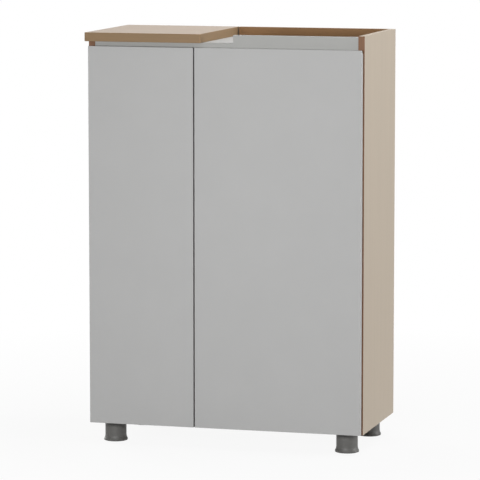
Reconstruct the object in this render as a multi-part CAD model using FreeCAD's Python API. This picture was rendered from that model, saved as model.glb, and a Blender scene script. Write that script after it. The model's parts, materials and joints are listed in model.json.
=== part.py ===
"""Two-door utility cabinet on four legs: carcass, worktop slab, open tray and doors on cup hinges.

Millimetres. Each piece is drawn in cabinet coordinates: x from the left outer face, y back from the
carcass front edges, z up from the underside of the side panels. save() moves it to the part's frame,
whose origin is on the floor at the middle of the whole footprint.
"""
import FreeCAD
import Part
import math
import os

V = FreeCAD.Vector
RIGHT = V(1, 0, 0)
BACK = V(0, 1, 0)
UP = V(0, 0, 1)

# Carcass
CABINET_WIDTH = 800.0
CABINET_DEPTH = 380.0
CABINET_HEIGHT = 1116.0
PANEL = 18.0
BAND = 1.0
FIT = 0.1
SLACK = 0.3

# Worktop slab on the left, open tray on the right
SLAB_THICKNESS = 25.0
SLAB_RIGHT_END = 335.0
SLAB_SIDE_OVERHANG = 6.0
SLAB_LEAD = 4.0
SLAB_JOINT = 4.0
SLAB_BAND = 2.0
SLAB_CORNER = 4.0
SLAB_ARRIS = 1.5
SLAB_SCREW_INSET = 60.0

# Doors
DOOR_THICKNESS = 18.0
DOOR_GAP = 2.0
DOOR_REVEAL = 4.0
DOOR_MIDDLE_GAP = 4.0
DOOR_SPLIT = 314.0
DOOR_TOP_DROP = 38.5
DOOR_BOTTOM_REVEAL = 2.0
DOOR_GRIP = 12.0

# Rails and back
RAIL_SETBACK = 3.0
RAIL_LAP = 22.0
RAIL_LIP_DROP = 3.0
RAIL_STEP = 422.0
BACK_RAIL_HEIGHT = 112.0
BACK_PANEL = 4.0
BACK_PANEL_INSET = 10.0
GROOVE_DEPTH = 6.0

# Shelves and their pins
SHELF_THICKNESS = 16.0
SHELF_COUNT = 2
SHELF_SETBACK = 28.0
SHELF_BACK_GAP = 8.0
SHELF_END_GAP = 1.0
PIN_SHANK_RADIUS = 2.5
PIN_SHANK_LENGTH = 8.0
PIN_HEAD_RADIUS = 4.0
PIN_HEAD_LENGTH = 8.0
PIN_FLAT = 3.2
PIN_INSET = 45.0

# Knock-down fittings
CAM_RADIUS = 7.5
CAM_DEPTH = 12.5
CAM_INSET = 24.0
BOLT_RADIUS = 3.0
BOLT_GRIP = 11.0
DOWEL_RADIUS = 4.0
DOWEL_LENGTH = 30.0
DOWEL_SHARE = 10.0
RAIL_DOWEL_SHARES = (0.3, 0.75)
FITTING_INSET = 120.0
FITTING_SPACING = 32.0

# Legs
LEG_HEIGHT = 58.0
LEG_RADIUS = 30.5
LEG_FOOT_RADIUS = 34.0
LEG_FLARE = 12.0
LEG_FOOT_EDGE = 4.0
LEG_BELLY_OUT = 0.3
LEG_BELLY_UP = 0.45
LEG_FLANGE_RADIUS = 41.0
LEG_FLANGE = 4.0
LEG_WALL = 3.0
LEG_BOSS_RADIUS = 9.0
LEG_RIB = 2.5
LEG_SCREW_COUNT = 4
LEG_SIDE_INSET = 58.0
LEG_FRONT_INSET = 52.0
LEG_BACK_INSET = 58.0
GLIDE_THICKNESS = 3.0
GLIDE_EDGE = 1.5
GLIDE_SEAT = 2.0
GLIDE_CHAMFER = 0.75

# Screws
SCREW_RADIUS = 1.75
SCREW_HEAD_RADIUS = 3.6
SCREW_HEAD_TOP_RADIUS = 2.6
SCREW_HEAD = 2.2
SCREW_BITE = 13.0
SCREW_ROOM = 0.3

# Cup hinges
HINGE_END = 100.0
CUP_RADIUS = 17.5
CUP_EDGE = 5.0
CUP_DEPTH = 13.3
CUP_WALL = 1.0
CUP_FLOOR = 0.8
CUP_FLANGE = 1.2
CUP_FLANGE_RIM = 1.3
CUP_FLANGE_CUT = 9.0
CUP_RELIEF = 1.5
CUP_RELIEF_WIDTH = 4.5
CUP_SCREW_OFFSET = 9.5
CUP_SCREW_SPREAD = 22.5
CUP_WING_RADIUS = 5.5
PIVOT_RADIUS = 1.2
PIVOT_CLEARANCE = 0.05
LINK_HALF_WIDTH = 2.1
INNER_LINK = 2.5
LAYER_GAP = 0.4
LINK_PLATE = 1.5
LUG_HALF_WIDTH = 3.6
ARM_NOSE = 2.2
ARM_REACH = 60.0
ARM_REAR_RISE = 15.5
ARM_REAR_DEPTH = 4.0
ARM_KNEE_UPPER = 24.0
ARM_KNEE_LOWER = 12.0
PLATE_BASE = 2.0
PLATE_SCREW_SETBACK = 37.0
PLATE_SCREW_SPREAD = 16.0
PLATE_WING_RADIUS = 7.0
PLATE_FRONT = 27.0
ARM_SCREW_SETBACK = 48.0

# Hinge pivots: arm pivots from the panel's inner face and the carcass front, cup pivots from the cup's
# middle and the door's back
OUTER_ARM_PIVOT = (22.1, 3.6)
INNER_ARM_PIVOT = (19.2, -7.6)
OUTER_CUP_PIVOT = (-10.5, -1.5)
INNER_CUP_PIVOT = (-9.7, -7.0)
DOOR_OPENING = 95.0
OUTER_LINK_RATE = 0.379
INNER_LINK_RATE = 0.2266

# Soft stops
BUMPER_RADIUS = 2.8
BUMPER_INSET = 30.0

# Places that follow from the sizes above
INNER_RIGHT = CABINET_WIDTH - PANEL
SLAB_UNDERSIDE = CABINET_HEIGHT - SLAB_THICKNESS
TOP_UNDERSIDE = SLAB_UNDERSIDE - PANEL
DOOR_BACK = -DOOR_GAP
DOOR_FRONT = DOOR_BACK - DOOR_THICKNESS
DOOR_TOP = CABINET_HEIGHT - DOOR_TOP_DROP
SLAB_FRONT = DOOR_FRONT - SLAB_LEAD
RAIL_BACK = RAIL_SETBACK + PANEL
RAIL_UNDERSIDE = DOOR_TOP - RAIL_LAP
BACK_RAIL_FRONT = CABINET_DEPTH - PANEL
BACK_RAIL_UNDERSIDE = CABINET_HEIGHT - BACK_RAIL_HEIGHT
BACK_REAR = CABINET_DEPTH - BACK_PANEL_INSET
BACK_FRONT = BACK_REAR - BACK_PANEL
SHELF_LEVELS = [TOP_UNDERSIDE * n / (SHELF_COUNT + 1) for n in range(1, SHELF_COUNT + 1)]
PARTITION_LEFT = DOOR_SPLIT - PANEL / 2
PARTITION_RIGHT = DOOR_SPLIT + PANEL / 2
ORIGIN = V((CABINET_WIDTH - SLAB_SIDE_OVERHANG) / 2, (CABINET_DEPTH + SLAB_FRONT) / 2, -LEG_HEIGHT)
HINGE_LEVELS = (
    DOOR_BOTTOM_REVEAL + HINGE_END,
    (DOOR_BOTTOM_REVEAL + DOOR_TOP) / 2,
    DOOR_TOP - HINGE_END,
)


def save(node, *solids):
    """Move the solids to the part's frame and write them as one node."""
    shape = solids[0] if len(solids) == 1 else Part.makeCompound(list(solids))
    shape = shape.copy()
    shape.translate(V(-ORIGIN.x, -ORIGIN.y, -ORIGIN.z))
    shape.exportStep("parts/" + node + ".step")


def block(x0, x1, y0, y1, z0, z1):
    """A straight board between two corners."""
    return Part.makeBox(x1 - x0, y1 - y0, z1 - z0, V(x0, y0, z0))


def rod(radius, start, direction, length):
    """A round peg or a round hole's tool."""
    return Part.makeCylinder(radius, length, start, direction)


def sawn(points, direction):
    """A board sawn to an outline and thick along a direction."""
    outline = Part.makePolygon(points + [points[0]])
    return Part.Face(outline).extrude(direction)


def turned(profile, centre):
    """A solid of revolution about a vertical line, from (radius, height) corners."""
    points = [V(radius, 0, height) for radius, height in profile]
    face = Part.Face(Part.makePolygon(points + [points[0]]))
    solid = face.revolve(V(0, 0, 0), UP, 360)
    solid.translate(centre)
    return solid


def mirrored(shape):
    """The same piece on the cabinet's other side."""
    return shape.mirror(V(CABINET_WIDTH / 2, 0, 0), RIGHT)


def screw(seat, direction, bite=SCREW_BITE):
    """A wood screw: its head stands on the seat and its shank points along the direction."""
    top = seat - direction * SCREW_HEAD
    head = Part.makeCone(SCREW_HEAD_TOP_RADIUS, SCREW_HEAD_RADIUS, SCREW_HEAD, top, direction)
    return head.fuse(rod(SCREW_RADIUS, seat, direction, bite))


def screw_hole(seat, direction):
    """Room for the shank of a screw."""
    return rod(SCREW_RADIUS + FIT, seat, direction, SCREW_BITE + SCREW_ROOM)


class Fittings:
    """Cams, bolts and dowels of the knock-down joints, with the holes that each board needs."""

    def __init__(self):
        self.cams = []
        self.bolts = []
        self.dowels = []
        self.holes = []

    def add_cam(self, face_x, inward, y, underside):
        """A cam in a flat board's underside and its bolt into the upright board beside it."""
        axis = V(inward, 0, 0)
        middle = underside + PANEL / 2
        centre = V(face_x + inward * CAM_INSET, y, underside)
        self.holes.append(rod(CAM_RADIUS + FIT, centre, UP, CAM_DEPTH + FIT))
        tip = V(face_x - inward * BOLT_GRIP, y, middle)
        length = BOLT_GRIP + CAM_INSET
        self.holes.append(rod(BOLT_RADIUS + FIT, tip - axis * FIT, axis, length + FIT))
        bolt = rod(BOLT_RADIUS, tip, axis, length - CAM_RADIUS / 2)
        cam = rod(CAM_RADIUS, centre, UP, CAM_DEPTH)
        cam = cam.cut(rod(BOLT_RADIUS + FIT, tip, axis, length))
        self.cams.append(cam)
        self.bolts.append(bolt)

    def add_dowel(self, joint, direction):
        """A dowel across a joint, with its shorter share on the side that the direction leaves."""
        start = joint - direction * DOWEL_SHARE
        self.dowels.append(rod(DOWEL_RADIUS, start, direction, DOWEL_LENGTH))
        room = DOWEL_LENGTH + 2 * FIT
        self.holes.append(rod(DOWEL_RADIUS + FIT, start - direction * FIT, direction, room))

    def bored(self, board):
        """A board with the holes that reach it."""
        near = [hole for hole in self.holes if board.BoundBox.intersect(hole.BoundBox)]
        return board.cut(near) if near else board


def lay_out_fittings():
    """Joints of the carcass: flat boards cammed to the sides, rails and partition on dowels."""
    fittings = Fittings()
    rows = ((FITTING_INSET, FITTING_SPACING), (CABINET_DEPTH - FITTING_INSET, -FITTING_SPACING))
    for underside in (0.0, TOP_UNDERSIDE):
        for y, spacing in rows:
            for face_x, side in ((PANEL, 1), (INNER_RIGHT, -1)):
                fittings.add_cam(face_x, side, y, underside)
                fittings.add_dowel(V(face_x, y + spacing, underside + PANEL / 2), V(side, 0, 0))
    rails = (
        ((RAIL_SETBACK + RAIL_BACK) / 2, RAIL_UNDERSIDE, SLAB_UNDERSIDE),
        ((BACK_RAIL_FRONT + CABINET_DEPTH) / 2, BACK_RAIL_UNDERSIDE, SLAB_UNDERSIDE),
    )
    for y, low, high in rails:
        for share in RAIL_DOWEL_SHARES:
            z = low + share * (high - low)
            fittings.add_dowel(V(PANEL, y, z), RIGHT)
            fittings.add_dowel(V(INNER_RIGHT, y, z), -RIGHT)
    for y in (FITTING_INSET, CABINET_DEPTH - FITTING_INSET):
        fittings.add_dowel(V(DOOR_SPLIT, y, PANEL), UP)
        fittings.add_dowel(V(DOOR_SPLIT, y, TOP_UNDERSIDE), -UP)
    return fittings


def shelf_pin_places():
    """Pin axes per compartment: the wall face, which way is into the compartment, y and z."""
    bays = {
        "left": ((PANEL, 1), (PARTITION_LEFT, -1)),
        "right": ((PARTITION_RIGHT, 1), (INNER_RIGHT, -1)),
    }
    rows = (SHELF_SETBACK + PIN_INSET, BACK_FRONT - SHELF_BACK_GAP - PIN_INSET)
    return {
        bay: [(x, side, y, level - PIN_FLAT) for x, side in walls for y in rows for level in SHELF_LEVELS]
        for bay, walls in bays.items()
    }


def shelf_pin(x, side, y, z):
    """A shelf pin: shank in the wall, head with a flat that carries the shelf."""
    axis = V(side, 0, 0)
    shank = rod(PIN_SHANK_RADIUS, V(x, y, z) - axis * PIN_SHANK_LENGTH, axis, PIN_SHANK_LENGTH)
    head = rod(PIN_HEAD_RADIUS, V(x, y, z), axis, PIN_HEAD_LENGTH)
    reach = 2 * PIN_HEAD_RADIUS
    above = block(x - reach * 2, x + reach * 2, y - reach, y + reach, z + PIN_FLAT, z + reach)
    return head.cut(above).fuse(shank).removeSplitter()


def shelf_pin_holes():
    """Blind holes for the pin shanks."""
    depth = PIN_SHANK_LENGTH + SLACK
    return [
        rod(PIN_SHANK_RADIUS + FIT, V(x - side * depth, y, z), V(side, 0, 0), depth)
        for places in shelf_pin_places().values()
        for x, side, y, z in places
    ]


def leg_centres():
    """Name and plan position of each leg."""
    xs = {"left": LEG_SIDE_INSET, "right": CABINET_WIDTH - LEG_SIDE_INSET}
    ys = {"front": LEG_FRONT_INSET, "back": CABINET_DEPTH - LEG_BACK_INSET}
    return {row + "_" + side: V(x, y, 0) for row, y in ys.items() for side, x in xs.items()}


def leg_screw_seats(centre):
    """Screw places on a leg's flange, turned to clear the cabinet's edges."""
    ring = (LEG_RADIUS + LEG_FLANGE_RADIUS) / 2
    turns = [math.pi * (2 * n + 1) / LEG_SCREW_COUNT for n in range(LEG_SCREW_COUNT)]
    return [centre + V(ring * math.cos(a), ring * math.sin(a), -LEG_FLANGE) for a in turns]


def make_leg(centre):
    """A moulded leg: flange, straight tube with ribs and a boss, and a foot that flares out."""
    foot = -LEG_HEIGHT + GLIDE_THICKNESS - GLIDE_SEAT
    flare_top = foot + LEG_FOOT_EDGE + LEG_FLARE
    outer = [
        V(0, 0, 0),
        V(LEG_FLANGE_RADIUS, 0, 0),
        V(LEG_FLANGE_RADIUS, 0, -LEG_FLANGE),
        V(LEG_RADIUS, 0, -LEG_FLANGE),
        V(LEG_RADIUS, 0, flare_top),
    ]
    edge_top = V(LEG_FOOT_RADIUS, 0, foot + LEG_FOOT_EDGE)
    belly_radius = LEG_RADIUS + (LEG_FOOT_RADIUS - LEG_RADIUS) * LEG_BELLY_OUT
    belly = V(belly_radius, 0, foot + LEG_FOOT_EDGE + LEG_FLARE * LEG_BELLY_UP)
    lines = [Part.LineSegment(a, b).toShape() for a, b in zip(outer, outer[1:])]
    lines.append(Part.Arc(outer[-1], belly, edge_top).toShape())
    under = [edge_top, V(LEG_FOOT_RADIUS, 0, foot), V(0, 0, foot), outer[0]]
    lines += [Part.LineSegment(a, b).toShape() for a, b in zip(under, under[1:])]
    leg = Part.Face(Part.Wire(lines)).revolve(V(0, 0, 0), UP, 360)
    ceiling = -LEG_FLANGE - LEG_WALL
    hollow = rod(LEG_RADIUS - LEG_WALL, V(0, 0, foot), UP, ceiling - foot)
    keep = [rod(LEG_BOSS_RADIUS, V(0, 0, foot), UP, ceiling - foot)]
    span = LEG_RADIUS
    keep.append(block(-span, span, -LEG_RIB / 2, LEG_RIB / 2, foot, ceiling))
    keep.append(block(-LEG_RIB / 2, LEG_RIB / 2, -span, span, foot, ceiling))
    hollow = hollow.cut(keep)
    seat = turned([
        (0, foot), (LEG_FOOT_RADIUS - GLIDE_EDGE + FIT, foot),
        (LEG_FOOT_RADIUS - GLIDE_EDGE + FIT, foot + GLIDE_SEAT), (0, foot + GLIDE_SEAT),
    ], V(0, 0, 0))
    leg = leg.cut([hollow, seat])
    leg.translate(centre)
    bores = [rod(SCREW_RADIUS + FIT, place, UP, LEG_FLANGE) for place in leg_screw_seats(centre)]
    return leg.cut(bores)


def make_glide(centre):
    """A round anti-slip pad let into the foot; the cabinet stands on it."""
    radius = LEG_FOOT_RADIUS - GLIDE_EDGE
    low = -LEG_HEIGHT
    return turned([
        (0, low), (radius - GLIDE_CHAMFER, low), (radius, low + GLIDE_CHAMFER),
        (radius, low + GLIDE_THICKNESS), (0, low + GLIDE_THICKNESS),
    ], centre)


def make_carcass(fittings):
    """Sides, bottom, partition, tray floor, rails and back, with their edge bands."""
    groove_left = block(PANEL - GROOVE_DEPTH, PANEL, BACK_FRONT - FIT, BACK_REAR + FIT, 0,
                        BACK_RAIL_UNDERSIDE + GROOVE_DEPTH)
    pin_holes = shelf_pin_holes()
    screw_tools = hinge_plate_screw_holes()
    left = block(0, PANEL, BAND, CABINET_DEPTH, 0, SLAB_UNDERSIDE)
    right = block(INNER_RIGHT, CABINET_WIDTH, BAND, CABINET_DEPTH, 0, CABINET_HEIGHT)
    left = left.cut([groove_left] + pin_holes + screw_tools)
    right = right.cut([mirrored(groove_left)] + pin_holes + screw_tools)
    save("left_side_panel", fittings.bored(left))
    save("right_side_panel", fittings.bored(right))

    bottom = block(PANEL, INNER_RIGHT, BAND, BACK_FRONT, 0, PANEL)
    leg_holes = [
        rod(SCREW_RADIUS + FIT, place, UP, SCREW_BITE + SCREW_ROOM)
        for centre in leg_centres().values()
        for place in leg_screw_seats(centre)
    ]
    save("bottom_panel", fittings.bored(bottom.cut(leg_holes)))

    partition = sawn([
        V(PARTITION_LEFT, BAND, PANEL), V(PARTITION_LEFT, BACK_FRONT, PANEL),
        V(PARTITION_LEFT, BACK_FRONT, BACK_RAIL_UNDERSIDE),
        V(PARTITION_LEFT, BACK_RAIL_FRONT, BACK_RAIL_UNDERSIDE),
        V(PARTITION_LEFT, BACK_RAIL_FRONT, TOP_UNDERSIDE), V(PARTITION_LEFT, RAIL_BACK, TOP_UNDERSIDE),
        V(PARTITION_LEFT, RAIL_BACK, RAIL_UNDERSIDE), V(PARTITION_LEFT, BAND, RAIL_UNDERSIDE),
    ], RIGHT * PANEL)
    save("partition_panel", fittings.bored(partition.cut(pin_holes)))

    top = block(PANEL, INNER_RIGHT, RAIL_BACK, BACK_RAIL_FRONT, TOP_UNDERSIDE, SLAB_UNDERSIDE)
    top = top.cut([rod(SCREW_RADIUS + FIT, seat, UP, PANEL) for seat in worktop_screw_seats()])
    save("top_panel", fittings.bored(top))

    lip = CABINET_HEIGHT - RAIL_LIP_DROP
    front_rail = sawn([
        V(PANEL, RAIL_SETBACK, RAIL_UNDERSIDE), V(INNER_RIGHT, RAIL_SETBACK, RAIL_UNDERSIDE),
        V(INNER_RIGHT, RAIL_SETBACK, lip), V(RAIL_STEP, RAIL_SETBACK, lip),
        V(RAIL_STEP, RAIL_SETBACK, SLAB_UNDERSIDE), V(PANEL, RAIL_SETBACK, SLAB_UNDERSIDE),
    ], BACK * PANEL)
    save("front_rail", fittings.bored(front_rail))

    step = SLAB_RIGHT_END + SLAB_JOINT
    back_rail = sawn([
        V(PANEL, BACK_RAIL_FRONT, BACK_RAIL_UNDERSIDE),
        V(INNER_RIGHT, BACK_RAIL_FRONT, BACK_RAIL_UNDERSIDE),
        V(INNER_RIGHT, BACK_RAIL_FRONT, CABINET_HEIGHT), V(step, BACK_RAIL_FRONT, CABINET_HEIGHT),
        V(step, BACK_RAIL_FRONT, SLAB_UNDERSIDE), V(PANEL, BACK_RAIL_FRONT, SLAB_UNDERSIDE),
    ], BACK * PANEL)
    back_groove = block(PANEL, INNER_RIGHT, BACK_FRONT - FIT, BACK_REAR + FIT, BACK_RAIL_UNDERSIDE,
                        BACK_RAIL_UNDERSIDE + GROOVE_DEPTH)
    save("back_rail", fittings.bored(back_rail.cut(back_groove)))

    tongue = GROOVE_DEPTH - SLACK
    save("back_panel", block(PANEL - tongue, INNER_RIGHT + tongue, BACK_FRONT, BACK_REAR, BAND,
                             BACK_RAIL_UNDERSIDE + tongue))
    save(
        "carcass_edge_bands",
        block(0, PANEL, 0, BAND, 0, SLAB_UNDERSIDE),
        block(INNER_RIGHT, CABINET_WIDTH, 0, BAND, 0, CABINET_HEIGHT),
        block(PANEL, INNER_RIGHT, 0, BAND, 0, PANEL),
        block(PARTITION_LEFT, PARTITION_RIGHT, 0, BAND, PANEL, RAIL_UNDERSIDE),
    )
    save("cam_locks", *fittings.cams)
    save("cam_bolts", *fittings.bolts)
    save("wood_dowels", *fittings.dowels)


def worktop_screw_seats():
    """Screws that hold the slab from below, through the tray floor board."""
    xs = (PANEL + SLAB_SCREW_INSET, PARTITION_LEFT - SLAB_SCREW_INSET)
    ys = (RAIL_BACK + SLAB_SCREW_INSET, BACK_RAIL_FRONT - SLAB_SCREW_INSET)
    return [V(x, y, TOP_UNDERSIDE) for x in xs for y in ys]


def slab_body(inset):
    """The slab drawn in from its front and both ends, with its two front corners rounded."""
    body = block(inset - SLAB_SIDE_OVERHANG, SLAB_RIGHT_END - inset, SLAB_FRONT + inset, CABINET_DEPTH,
                 SLAB_UNDERSIDE, CABINET_HEIGHT)
    corners = [edge for edge in body.Edges if edge.BoundBox.YMax < 0]
    corners = [edge for edge in corners if edge.BoundBox.ZLength > SLAB_THICKNESS / 2]
    return body.makeFillet(SLAB_CORNER - inset, corners)


def make_worktop():
    """The slab over the left compartment, with one band around its front and both ends."""
    core = slab_body(SLAB_BAND)
    bite = PANEL + SLAB_THICKNESS / 2
    holes = [rod(SCREW_RADIUS + FIT, seat, UP, bite + SCREW_ROOM) for seat in worktop_screw_seats()]
    save("worktop_slab", core.cut(holes))
    outside = slab_body(0)
    rims = [edge for edge in outside.Edges if edge.BoundBox.ZLength < SLAB_ARRIS]
    rims = [edge for edge in rims if edge.BoundBox.YMin < BACK_RAIL_FRONT]
    save("worktop_edge_bands", outside.makeFillet(SLAB_ARRIS, rims).cut(core))
    save("worktop_screws", *[screw(seat, UP, bite) for seat in worktop_screw_seats()])


def make_shelves():
    """Loose shelves in both compartments, each on four pins."""
    spans = {"left": (PANEL, PARTITION_LEFT), "right": (PARTITION_RIGHT, INNER_RIGHT)}
    rear = BACK_FRONT - SHELF_BACK_GAP
    bands = []
    for bay, (x0, x1) in spans.items():
        x0 += SHELF_END_GAP
        x1 -= SHELF_END_GAP
        for number, level in enumerate(SHELF_LEVELS, 1):
            high = level + SHELF_THICKNESS
            save("%s_shelf_%d" % (bay, number), block(x0, x1, SHELF_SETBACK + BAND, rear, level, high))
            bands.append(block(x0, x1, SHELF_SETBACK, SHELF_SETBACK + BAND, level, high))
        save(bay + "_shelf_pins", *[shelf_pin(*place) for place in shelf_pin_places()[bay]])
    save("shelf_edge_bands", *bands)


def make_legs():
    """Four legs, their pads and the screws that hold them."""
    glides = []
    screws = []
    for name, centre in leg_centres().items():
        save("leg_" + name, make_leg(centre))
        glides.append(make_glide(centre))
        screws += [screw(place, UP) for place in leg_screw_seats(centre)]
    save("leg_glides", *glides)
    save("leg_screws", *screws)


# Cup hinge, drawn on the left side: u from the panel's outer face, v back from the carcass front
CUP_U = DOOR_REVEAL + CUP_EDGE + CUP_RADIUS
ARM_OUTER = V(PANEL + OUTER_ARM_PIVOT[0], OUTER_ARM_PIVOT[1], 0)
ARM_INNER = V(PANEL + INNER_ARM_PIVOT[0], INNER_ARM_PIVOT[1], 0)
CUP_OUTER = V(CUP_U + OUTER_CUP_PIVOT[0], DOOR_BACK + OUTER_CUP_PIVOT[1], 0)
CUP_INNER = V(CUP_U + INNER_CUP_PIVOT[0], DOOR_BACK + INNER_CUP_PIVOT[1], 0)
OUTER_LINK_FACE = INNER_LINK + LAYER_GAP
CHEEK_FACE = OUTER_LINK_FACE + LINK_PLATE + LAYER_GAP
LUG_FACE = CHEEK_FACE + LINK_PLATE + LAYER_GAP
LUG_REACH = LUG_FACE + LINK_PLATE + LAYER_GAP
ARM_TOP = PANEL + ARM_REAR_RISE + ARM_NOSE
PLATE_TOP = ARM_TOP - LINK_PLATE


def spun(point, about, angle):
    """A plan point turned about another by an angle in radians."""
    dx, dy = point.x - about.x, point.y - about.y
    c, s = math.cos(angle), math.sin(angle)
    return V(about.x + c * dx - s * dy, about.y + s * dx + c * dy, 0)


def pin_path_in_inner_link(steps=24):
    """Where the inner cup pin runs in the inner link while the door opens."""
    path = []
    for n in range(steps + 1):
        angle = math.radians(DOOR_OPENING) * n / steps
        outer = spun(CUP_OUTER, ARM_OUTER, OUTER_LINK_RATE * angle)
        pin = outer + spun(CUP_INNER - CUP_OUTER, V(0, 0, 0), -angle)
        path.append(spun(pin, ARM_INNER, -INNER_LINK_RATE * angle))
    return path


def bar(a, b, radius, low, high):
    """A flat bar with round ends about two plan points, between two heights."""
    along = (b - a).normalize()
    side = V(-along.y, along.x, 0)
    lift = V(0, 0, low)
    wide = side * radius
    corners = [p + lift for p in (a + wide, b + wide, b - wide, a - wide)]
    wire = Part.Wire([
        Part.LineSegment(corners[0], corners[1]).toShape(),
        Part.Arc(corners[1], b + along * radius + lift, corners[2]).toShape(),
        Part.LineSegment(corners[2], corners[3]).toShape(),
        Part.Arc(corners[3], a - along * radius + lift, corners[0]).toShape(),
    ])
    return Part.Face(wire).extrude(UP * (high - low))


def both_sides(low, high):
    """The two mirrored height ranges of a hinge's side plates."""
    return ((low, high), (-high, -low))


def outer_links():
    """Two side plates that carry the door, on the outer arm pin and the outer cup pins."""
    plates = []
    for low, high in both_sides(OUTER_LINK_FACE, OUTER_LINK_FACE + LINK_PLATE):
        plate = bar(ARM_OUTER, CUP_OUTER, LINK_HALF_WIDTH, low, high)
        bore = PIVOT_RADIUS + PIVOT_CLEARANCE
        plates.append(plate.cut([rod(bore, p + UP * low, UP, high - low) for p in (ARM_OUTER, CUP_OUTER)]))
    return plates


def inner_link():
    """The middle link: a bore on the arm and a short slot that guides the inner cup pin."""
    path = pin_path_in_inner_link()
    start = path[0]
    far = max(path, key=lambda p: p.distanceToPoint(start))
    along = (far - start).normalize()
    side = V(-along.y, along.x, 0)
    drift = [(p - start).dot(side) for p in path]
    shift = side * ((max(drift) + min(drift)) / 2)
    half = PIVOT_RADIUS + (max(drift) - min(drift)) / 2 + 2 * PIVOT_CLEARANCE
    a, b = start + shift, far + shift
    wall = LINK_HALF_WIDTH - PIVOT_RADIUS
    low, high = -INNER_LINK, INNER_LINK
    body = bar(ARM_INNER, (a + b) * 0.5, LINK_HALF_WIDTH, low, high)
    body = body.fuse(bar(a, b, half + wall, low, high)).removeSplitter()
    bore = rod(PIVOT_RADIUS + PIVOT_CLEARANCE, ARM_INNER + UP * low, UP, high - low)
    return [body.cut([bore, bar(a, b, half, low, high)])]


def hinge_arm():
    """A channel arm: two cheeks that hold the arm pins, joined by a web over the mounting plate."""
    rear_top = PANEL + ARM_REAR_RISE
    rear_low = rear_top - ARM_REAR_DEPTH
    outline = [
        ARM_INNER, ARM_OUTER, V(rear_top, ARM_KNEE_UPPER, 0), V(rear_top, ARM_REACH, 0),
        V(rear_low, ARM_REACH, 0), V(rear_low, ARM_KNEE_LOWER, 0),
    ]
    sheet = Part.Face(Part.makePolygon(outline + [outline[0]])).makeOffset2D(ARM_NOSE)
    cheeks = []
    for low, high in both_sides(CHEEK_FACE, CHEEK_FACE + LINK_PLATE):
        cheek = sheet.copy()
        cheek.translate(UP * low)
        cheeks.append(cheek.extrude(UP * (high - low)))
    web = block(PLATE_TOP, ARM_TOP, ARM_KNEE_UPPER + ARM_NOSE, ARM_REACH, -CHEEK_FACE, CHEEK_FACE)
    arm = web.fuse(cheeks).removeSplitter()
    span = CHEEK_FACE + LINK_PLATE
    bores = [rod(PIVOT_RADIUS, p - UP * span, UP, 2 * span) for p in (ARM_OUTER, ARM_INNER)]
    seat = V(PLATE_TOP, ARM_SCREW_SETBACK, 0)
    bores.append(rod(SCREW_RADIUS + FIT, seat, RIGHT, LINK_PLATE))
    return [arm.cut(bores)]


def arm_pins():
    """The two pins riveted in the arm's cheeks."""
    span = CHEEK_FACE + LINK_PLATE
    return [rod(PIVOT_RADIUS, p - UP * span, UP, 2 * span) for p in (ARM_OUTER, ARM_INNER)]


def mounting_plate():
    """A cross plate on the panel: screw wings and a block that the arm sits on."""
    reach = PLATE_SCREW_SPREAD
    start, end = V(PANEL, PLATE_SCREW_SETBACK, -reach), V(PANEL, PLATE_SCREW_SETBACK, reach)
    base = rod(PLATE_WING_RADIUS, start, RIGHT, PLATE_BASE)
    base = base.fuse([
        rod(PLATE_WING_RADIUS, end, RIGHT, PLATE_BASE),
        block(PANEL, PANEL + PLATE_BASE, PLATE_SCREW_SETBACK - PLATE_WING_RADIUS,
              PLATE_SCREW_SETBACK + PLATE_WING_RADIUS, -reach, reach),
    ])
    half = CHEEK_FACE - SLACK
    rib = sawn([
        V(PANEL, PLATE_FRONT, -half), V(PLATE_TOP, PLATE_FRONT, -half),
        V(PLATE_TOP, ARM_REACH, -half), V(PANEL, ARM_REACH, -half),
    ], UP * (2 * half))
    plate = base.fuse(rib).removeSplitter()
    holes = [rod(SCREW_RADIUS + FIT, p, RIGHT, PLATE_BASE) for p in (start, end)]
    seat = V(ARM_TOP, ARM_SCREW_SETBACK, 0)
    holes.append(screw_hole(seat, -RIGHT))
    return [plate.cut(holes)]


def plate_screws():
    """Screws of one mounting plate, and the screw that holds the arm on it."""
    reach = PLATE_SCREW_SPREAD
    seats = [V(PANEL + PLATE_BASE, PLATE_SCREW_SETBACK, w) for w in (-reach, reach)]
    seats.append(V(ARM_TOP, ARM_SCREW_SETBACK, 0))
    return [screw(seat, -RIGHT) for seat in seats]


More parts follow.
